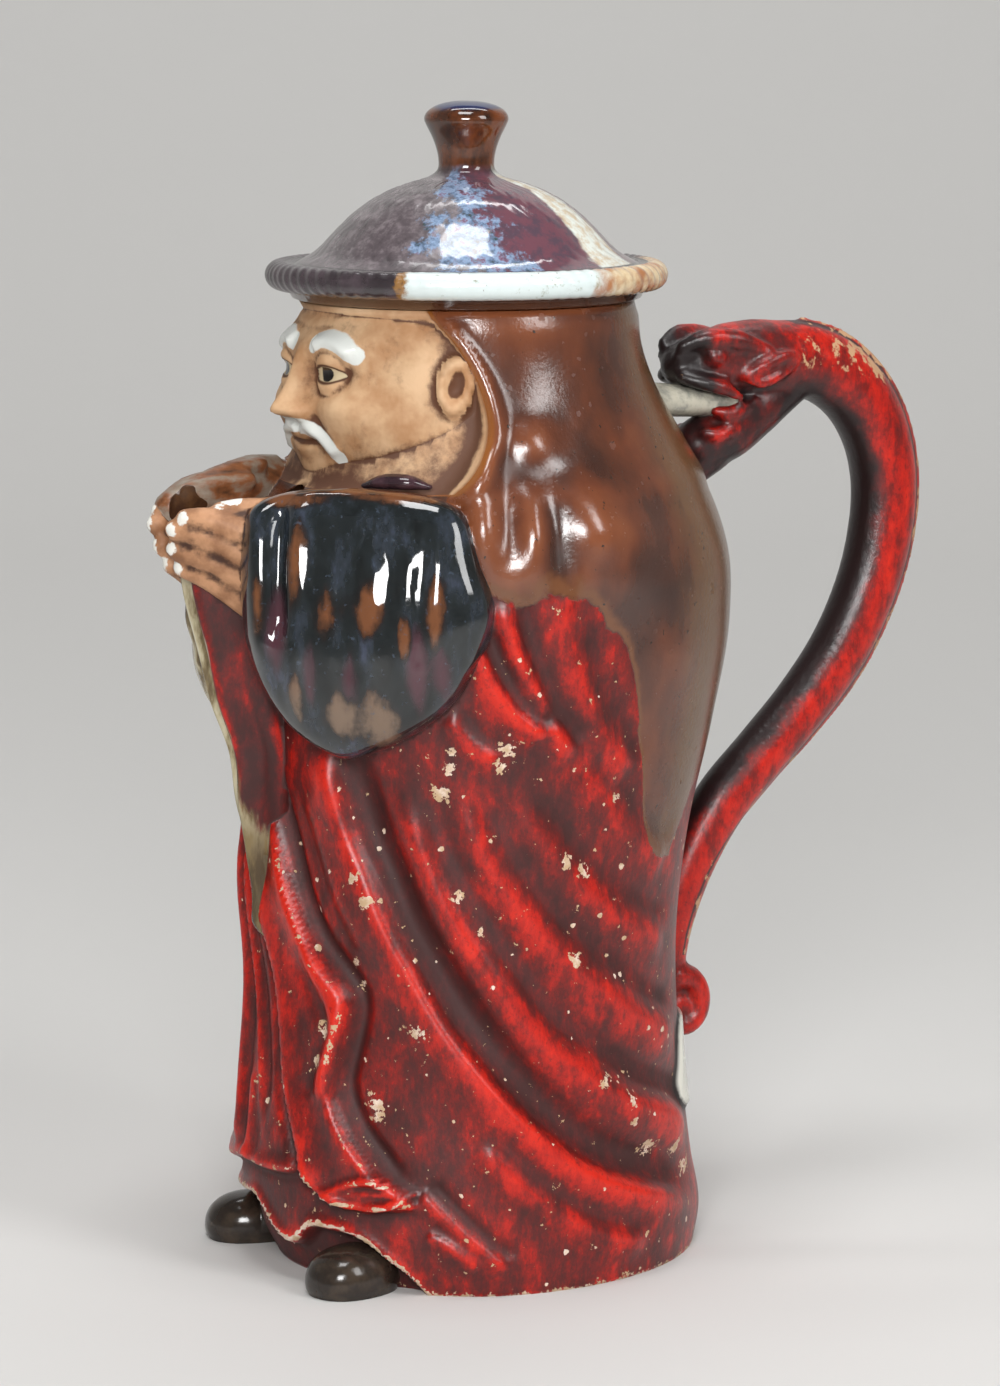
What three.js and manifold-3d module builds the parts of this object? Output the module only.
// Glazed stoneware ewer shaped as a robed old man, with a lift-off hat lid and a dragon handle.
// Millimetres, +Z up. The figure faces -Y, the handle is at +Y and the foot stands on Z = 0.
import * as THREE from 'three';
import { mergeVertices } from 'three/addons/utils/BufferGeometryUtils.js';
import Module from 'manifold-3d';

const wasm = await Module();
wasm.setup();

const DEGREES = 180 / Math.PI;

// ---------- driving dimensions ----------

const RIM_HEIGHT = 232.6;        // top of the neck
const WALL = 6;                  // thickness of the potted wall behind the folds
const FLOOR = 7;                 // thickness of the bottom
const MOUTH_RADIUS = 34.3;       // clear opening of the neck

// Reach of the smooth body from the axis: height, to the side, to the front, to the back.
const BODY = [
  [0, 52, 54, 57],
  [8, 53, 58, 58.5],
  [22, 52.5, 58.5, 56],
  [50, 51, 55.5, 52.5],
  [78, 50.3, 53, 51.5],
  [105, 51.5, 52.5, 55],
  [130, 54, 53, 61.5],
  [155, 57, 53, 66],
  [172, 58, 51, 65],
  [186, 55, 48, 60],
  [200, 48, 43, 52],
  [212, 43, 40.5, 45],
  [222, 40.8, 40.3, 41.2],
  [RIM_HEIGHT, 40.3, 40.3, 40.3],
];

// Cloth folds. Angles are in degrees from the front, the same on both sides of the figure.
const SWEEPS = [                 // long folds that start under a sleeve and sweep round to the back
  { start: 24, top: 126, sweep: 141, rise: 3.2, width: 6.5 },
  { start: 34, top: 124, sweep: 150, rise: -2.6, width: 6 },
  { start: 44, top: 130, sweep: 167, rise: 2.8, width: 6.5 },
  { start: 60, top: 132, sweep: 180, rise: -1.8, width: 7.5 },
  { start: 78, top: 134, sweep: 190, rise: 1.6, width: 7 },
];
const SWEEP_POWER = 2.1;         // how the sweeping folds turn as they fall
const PLEATS = [                 // hanging pleats of the front panels
  { angle: 4, drift: -2, rise: -2.0, width: 2.6 },
  { angle: 11, drift: 4, rise: 2.2, width: 3 },
  { angle: 19, drift: 9, rise: -2.4, width: 3 },
  { angle: 27, drift: 9, rise: 2.0, width: 3.2 },
];
const PLEAT_TOP = 125;
const HEM = { height: 24, halfAngle: 52, recess: 4.5 };

const HOOD = { foot: 190, top: 229, narrow: 48, wide: 68, lip: 2.4 };  // edge of the hood round the face
const SHOULDER = { angle: 84, height: 178, spread: 17, reach: 15, rise: 4.5 };
const APRON = { halfAngle: 15, top: 176, foot: 74, rise: 23 };

const SLEEVE = {
  centre: [31, -40, 160],
  halfLength: 33,                // from wrist to elbow
  halfDepth: 15,
  halfHeight: 34,
  yaw: 45,                       // direction of the forearm in plan
  flute: 2.2,                    // depth of the hanging folds
  flutes: 3.2,                   // how many of them run along the sleeve
  taper: 0.22,                   // how much narrower the bag is at the bottom
  fullness: 1.25,
};

const HAND = { centre: [6.5, -64, 180.5], halfSizes: [9.5, 18.5, 13], pitch: -14 };
const FINGER = {                 // the first finger, and the step to each one below it
  count: 4,
  radius: 4.2,
  length: 25,
  first: [15.5, -66, 183.5],
  step: [-1.5, 1.5, -5.8],
  pitch: -18,
  pitchStep: -8,
  yaw: -22,
};
const THUMB = { radius: 4.4, length: 20, middle: [12, -57, 190], pitch: -4, yaw: -8 };
const SPOUT = {
  channelHeight: 183,            // middle of the pouring channel
  halfWidth: 6,
  halfHeight: 8,
  from: -38,
  to: -76,
  mouthCentre: -73.5,            // the opening between the hands
  mouthHalf: 7.5,
  mouthHeight: 26,
  mouthFlare: [1.12, 0.9],       // widening at its top and bottom
};

const HEAD = { centre: [0, -17, 213], halfSizes: [28, 28.5, 27] };
const FACE = {                   // a plain face: heights from the middle of the head, and reliefs
  brow: 9,
  eye: 4.5,
  noseTip: -3.5,
  cheek: -6,
  mouth: -12,
  eyeSpacing: 10,
  noseRise: 5.5,
  noseWidth: 4.2,
  browRise: 2.4,
  socketDepth: 2.6,
  cheekRise: 2.2,
  cheekSpacing: 13,
  moustacheRise: 2,
};
const EAR = { centre: [35, -21.5, 207.5], halfSizes: [3.2, 5.2, 10.5], yaw: -22 };
const SHOE = { centre: [28, -45, 3.5], halfSizes: [9.5, 12, 9.5] };

const HANDLE_LINE = [            // middle line in the plane X = 0: Y, Z
  [66, 214],
  [92, 214.8],
  [111.5, 204],
  [119.5, 181],
  [112, 149],
  [89, 119],
  [66, 95],
  [58.5, 76],
  [57, 58],
];
const HANDLE_WIDTH = [19, 16];   // across, at the head and at the tail
const HANDLE_DEPTH = [20.5, 14]; // in the plane of the loop
const SCROLL = { centre: [59.5, 51.5], radius: 6.6, width: 12 };

// Lumps of the dragon's head: half sizes, centre, pitch, yaw. The last two come in pairs.
const UPPER_JAW = { halfSizes: [11, 20, 9], centre: [0, 73, 215.5], pitch: 4 };
const LOWER_JAW = { halfSizes: [9, 19, 8], centre: [0, 71, 198], pitch: 24 };
const TONGUE = { halfSizes: [7, 14, 4.5], centre: [0, 60, 206.5], pitch: 0 };
const DRAGON_EAR = { halfSizes: [4, 8, 3.4], centre: [11, 86, 213.5], pitch: 8, yaw: 8 };
const DRAGON_BROW = { halfSizes: [3.5, 9, 3], centre: [7, 76, 221.5], pitch: 6, yaw: 0 };

const LID_PROFILE = [            // closed section: radius, height
  [0, 280],
  [6.5, 279],
  [10.2, 275.5],
  [9.6, 272],
  [7.4, 266],
  [8.6, 262.8],
  [16, 260],
  [25.5, 255.2],
  [33, 249.6],
  [38.5, 243.6],
  [42, 241],
  [45.5, 240.8],
  [48.3, 237.6],
  [46.8, 234],
  [44, 232.9],
  [33.4, 232.9],
  [32.8, 225],
  [29.8, 225],
  [29.6, 236],
  [27, 245.5],
  [19, 251.5],
  [8, 255.5],
  [0, 256],
];

// ---------- helpers ----------

/** Moves every vertex of a geometry to where `place` sends it. */
function deform(geometry, place) {
  const position = geometry.attributes.position;
  const point = new THREE.Vector3();
  for (let i = 0; i < position.count; i += 1) {
    place(point.fromBufferAttribute(position, i));
    position.setXYZ(i, point.x, point.y, point.z);
  }
  return geometry;
}

/** Turns a closed surface into a solid for joining and cutting. */
function solid(geometry) {
  const bare = geometry.clone();
  bare.deleteAttribute('normal');
  bare.deleteAttribute('uv');
  const merged = mergeVertices(bare, 1e-3);
  const corners = merged.index.array;
  const kept = [];
  for (let i = 0; i < corners.length; i += 3) {
    const [a, b, c] = [corners[i], corners[i + 1], corners[i + 2]];
    if (a !== b && b !== c && c !== a) kept.push(a, b, c);
  }
  return new wasm.Manifold(new wasm.Mesh({
    numProp: 3,
    vertProperties: new Float32Array(merged.attributes.position.array),
    triVerts: new Uint32Array(kept),
  }));
}

/** Turns a joined solid back into a surface. */
function geometryOf(body) {
  const mesh = body.getMesh();
  const geometry = new THREE.BufferGeometry();
  geometry.setAttribute('position', new THREE.BufferAttribute(new Float32Array(mesh.vertProperties), 3));
  geometry.setIndex(new THREE.BufferAttribute(new Uint32Array(mesh.triVerts), 1));
  geometry.computeVertexNormals();
  return geometry;
}

/** A solid of revolution about Z from a profile of [radius, height], from the bottom up. */
function turned(profile, segments) {
  const points = profile.map(([radius, height]) => new THREE.Vector2(radius, height));
  return new THREE.LatheGeometry(points, segments).rotateX(Math.PI / 2);
}

/** A rounded lump: a sphere scaled to half sizes, with `square` over 1 for fuller corners. */
function lump(halfSizes, square = 1, across = 18, down = 12) {
  const [a, b, c] = halfSizes;
  return deform(new THREE.SphereGeometry(1, across, down).rotateX(Math.PI / 2), (p) => {
    for (const axis of ['x', 'y', 'z']) p[axis] = Math.sign(p[axis]) * Math.abs(p[axis]) ** (1 / square);
    p.set(p.x * a, p.y * b, p.z * c);
  });
}

/** Rotates about X, then Z, by degrees, and moves to a place. */
function pose(geometry, [x, y, z], pitch = 0, yaw = 0) {
  return geometry.rotateX(pitch / DEGREES).rotateZ(yaw / DEGREES).translate(x, y, z);
}

/** Both sides of the figure: the given right-side geometry and its mirror image. */
function pair(geometry) {
  const one = solid(geometry);
  return one.add(one.mirror([1, 0, 0]));
}

const bell = (distance, width) => Math.exp(-((distance / width) ** 2));
const ease = (value, from, to) => THREE.MathUtils.smoothstep(value, Math.min(from, to), Math.max(from, to));

// ---------- body and cloth ----------

const girth = new THREE.CubicInterpolant(
  BODY.map((row) => row[0]),
  BODY.flatMap((row) => row.slice(1)),
  3,
);

/** Radius of the smooth body at an angle from the front, in degrees, and a height. */
function smoothRadius(angle, height) {
  const [side, front, back] = girth.evaluate(THREE.MathUtils.clamp(height, 0, RIM_HEIGHT));
  const forward = Math.cos(angle / DEGREES);
  const depth = forward > 0 ? front : back;
  return 1 / Math.hypot(Math.sin(angle / DEGREES) / side, forward / depth);
}

/** Height of a sweeping fold's ridge or hollow above the smooth body. */
function sweepRise(fold, angle, height, radius) {
  if (height > fold.top) return 0;
  const fall = 1 - height / fold.top;
  const middle = fold.start + fold.sweep * fall ** SWEEP_POWER;
  const turnPerHeight = (fold.sweep * SWEEP_POWER * fall ** (SWEEP_POWER - 1)) / fold.top / DEGREES;
  const across = ((angle - middle) / DEGREES) * radius / Math.hypot(1, turnPerHeight * radius);
  const fade = Math.min(1, (fold.top - height) / 15) * (1 - ease(angle, 135, 170));
  return fold.rise * fade * bell(across, fold.width);
}

function pleatRise(pleat, angle, height, radius) {
  const fall = 1 - height / PLEAT_TOP;
  if (fall < 0) return 0;
  const across = ((angle - pleat.angle - pleat.drift * fall) / DEGREES) * radius;
  return pleat.rise * Math.min(1, fall * 4) * bell(across, pleat.width);
}

/** Everything that the cloth adds to the smooth body. */
function clothRise(angle, height, radius) {
  let rise = 0;
  for (const fold of SWEEPS) rise += sweepRise(fold, angle, height, radius);
  for (const pleat of PLEATS) rise += pleatRise(pleat, angle, height, radius);
  const overHem = ease(height, HEM.height - 3, HEM.height + 1);
  const atFront = 1 - ease(angle, HEM.halfAngle - 6, HEM.halfAngle + 8);
  rise -= HEM.recess * atFront * (1 - overHem);
  const fallen = THREE.MathUtils.clamp((height - APRON.foot) / (APRON.top - APRON.foot), 0, 1);
  const underHands = 1 - ease(height, APRON.top, APRON.top + 16);
  rise += APRON.rise * fallen ** 1.5 * underHands * bell(angle, APRON.halfAngle);
  const round = Math.sin(Math.PI * THREE.MathUtils.clamp((height - HOOD.foot) / (HOOD.top - HOOD.foot), 0, 1));
  const hoodEdge = THREE.MathUtils.lerp(HOOD.narrow, HOOD.wide, round);
  rise += HOOD.lip * round * ease(angle, hoodEdge - 5, hoodEdge) * (1 - 0.7 * ease(angle, hoodEdge, 110));
  rise += SHOULDER.rise * bell(angle - SHOULDER.angle, SHOULDER.spread)
    * bell(height - SHOULDER.height, SHOULDER.reach);
  return rise;
}

/** Presses a turned body of any radius out to `reach(angle, height)`, keeping its axis in place. */
function fitTo(geometry, profileRadius, reach) {
  return deform(geometry, (p) => {
    const radius = Math.hypot(p.x, p.y);
    if (radius < 1e-6) return;
    const angle = Math.abs(Math.atan2(p.x, -p.y)) * DEGREES;
    const scale = reach(angle, p.z) / profileRadius;
    p.set(p.x * scale, p.y * scale, p.z);
  });
}

function makeRobe() {
  const heights = [0, 3.5, 8, 14, 20, 24.5, 29];
  const step = 9.7;
  for (let height = 38; height < RIM_HEIGHT - step / 2; height += step) heights.push(height);
  heights.push(RIM_HEIGHT);
  const profile = [[0, 0], ...heights.map((height) => [1, height]), [0, RIM_HEIGHT]];
  return solid(fitTo(turned(profile, 56), 1, (angle, height) => {
    const radius = smoothRadius(angle, height);
    return radius + clothRise(angle, height, radius);
  }));
}

function makeCavity() {
  const heights = [FLOOR, FLOOR + 7, 50, 78, 105, 130, 155, 172, 186, 200, 212, 224, RIM_HEIGHT + 5];
  const profile = [[0, FLOOR], ...heights.map((height) => [1, height]), [0, RIM_HEIGHT + 5]];
  return solid(fitTo(turned(profile, 28), 1, (angle, height) => {
    const bottomRound = height === FLOOR ? 8 : 0;
    return Math.max(MOUTH_RADIUS - 1, smoothRadius(angle, height) - WALL - bottomRound);
  })).add(solid(turned([[0, 215], [MOUTH_RADIUS, 215], [MOUTH_RADIUS, 240], [0, 240]], 28)));
}

// ---------- the figure ----------

function makeSleeves() {
  const { centre, halfLength, halfDepth, halfHeight, yaw } = SLEEVE;
  const bag = lump([halfLength, halfDepth, halfHeight], SLEEVE.fullness, 18, 11);
  const folded = deform(bag, (p) => {
    const flute = Math.cos((p.x / halfLength) * SLEEVE.flutes * Math.PI);
    const low = THREE.MathUtils.clamp(0.5 - p.z / halfHeight / 2, 0, 1);
    p.y -= SLEEVE.flute * flute * low * Math.max(0, -p.y / halfDepth);
    p.x *= 1 - SLEEVE.taper * low;
  });
  return pair(pose(folded, centre, 0, yaw));
}

function makeHands() {
  let hands = pair(pose(lump(HAND.halfSizes, 1.2, 14, 8), HAND.centre, HAND.pitch));
  for (let i = 0; i < FINGER.count; i += 1) {
    const finger = new THREE.CapsuleGeometry(FINGER.radius, FINGER.length, 2, 7);
    const place = FINGER.first.map((value, axis) => value + i * FINGER.step[axis]);
    hands = hands.add(pair(pose(finger, place, FINGER.pitch + i * FINGER.pitchStep, FINGER.yaw)));
  }
  const thumb = new THREE.CapsuleGeometry(THUMB.radius, THUMB.length, 2, 7);
  return hands.add(pair(pose(thumb, THUMB.middle, THUMB.pitch, THUMB.yaw)));
}

function makeSpoutCut() {
  const length = SPOUT.from - SPOUT.to;
  const channel = new THREE.CylinderGeometry(1, 1, length, 20).scale(SPOUT.halfWidth, 1, SPOUT.halfHeight);
  channel.translate(0, (SPOUT.from + SPOUT.to) / 2, SPOUT.channelHeight);
  const mouth = new THREE.CylinderGeometry(...SPOUT.mouthFlare, SPOUT.mouthHeight, 20).rotateX(Math.PI / 2);
  mouth.scale(SPOUT.halfWidth, SPOUT.mouthHalf, 1);
  mouth.translate(0, SPOUT.mouthCentre, SPOUT.channelHeight - 3 + SPOUT.mouthHeight / 2);
  return solid(channel).add(solid(mouth));
}

function makeHead() {
  const skull = deform(lump(HEAD.halfSizes, 1.1, 28, 20), (p) => {
    const facing = THREE.MathUtils.clamp(-p.y / 12, 0, 1);
    const aside = Math.abs(p.x);
    const bridge = p.z > FACE.noseTip ? bell(p.z - FACE.noseTip, 9) : bell(p.z - FACE.noseTip, 3.5);
    const nose = FACE.noseRise * bridge * bell(aside, FACE.noseWidth);
    const brow = FACE.browRise * bell(p.z - FACE.brow, 3) * bell(aside - FACE.eyeSpacing, 8);
    const socket = FACE.socketDepth * bell(p.z - FACE.eye, 3.4) * bell(aside - FACE.eyeSpacing, 6);
    const cheek = FACE.cheekRise * bell(p.z - FACE.cheek, 6) * bell(aside - FACE.cheekSpacing, 6);
    const moustache = FACE.moustacheRise * bell(p.z - FACE.mouth + 2, 3) * bell(aside - 6, 7);
    p.y -= facing * (nose + brow + cheek + moustache - socket);
  });
  const ear = pair(pose(lump(EAR.halfSizes, 1.1, 10, 8), EAR.centre, 0, EAR.yaw));
  return solid(pose(skull, HEAD.centre)).add(ear);
}

function makeShoes() {
  return pair(pose(lump(SHOE.halfSizes, 1.15, 14, 10), SHOE.centre, 0, 12));
}

// ---------- the dragon handle ----------

function makeHandle() {
  const line = new THREE.CatmullRomCurve3(HANDLE_LINE.map(([y, z]) => new THREE.Vector3(0, y, z)));
  const tube = deform(new THREE.CylinderGeometry(1, 1, 1, 10, 28), (p) => {
    const along = p.y + 0.5;
    const middle = line.getPointAt(along);
    const tangent = line.getTangentAt(along);
    const width = THREE.MathUtils.lerp(...HANDLE_WIDTH, along) / 2;
    const depth = THREE.MathUtils.lerp(...HANDLE_DEPTH, along) / 2;
    const outward = new THREE.Vector3(0, -tangent.z, tangent.y).multiplyScalar(p.z * depth);
    p.set(p.x * width, middle.y + outward.y, middle.z + outward.z);
  });
  const scroll = new THREE.CylinderGeometry(SCROLL.radius, SCROLL.radius, SCROLL.width, 16);
  scroll.rotateZ(Math.PI / 2).translate(0, ...SCROLL.centre);
  return solid(tube).add(solid(scroll));
}

function makeDragonHead() {
  const placed = ({ halfSizes, centre, pitch, yaw = 0 }, square, across, down) => (
    pose(lump(halfSizes, square, across, down), centre, pitch, yaw)
  );
  return solid(placed(UPPER_JAW, 1.15, 14, 10))
    .add(solid(placed(LOWER_JAW, 1.1, 14, 8)))
    .add(solid(placed(TONGUE, 1.1, 8, 6)))
    .add(pair(placed(DRAGON_EAR, 1, 8, 6)))
    .add(pair(placed(DRAGON_BROW, 1, 8, 6)));
}

// ---------- the two pieces ----------

function makeJug() {
  const cavity = makeCavity();
  let form = makeRobe();
  for (const part of [makeHead(), makeSleeves(), makeHands(), makeShoes(), makeHandle(), makeDragonHead()]) {
    form = form.add(part);
  }
  const underside = new THREE.BoxGeometry(400, 400, 40).translate(0, 0, -20);
  const aboveRim = new THREE.BoxGeometry(90, 90, 40).translate(0, 0, RIM_HEIGHT + 20);
  return form.subtract(cavity).subtract(makeSpoutCut()).subtract(solid(underside)).subtract(solid(aboveRim));
}

function makeLid() {
  return solid(turned([...LID_PROFILE].reverse(), 36));
}

function piece(name, geometry, color, roughness) {
  const mesh = new THREE.Mesh(geometry, new THREE.MeshStandardMaterial({ color, roughness, metalness: 0 }));
  mesh.name = name;
  return mesh;
}

const part = new THREE.Group();
part.add(piece('jug', geometryOf(makeJug()), 0xa52418, 0.5));
part.add(piece('lid', geometryOf(makeLid()), 0x4a3a44, 0.2));

export default part;
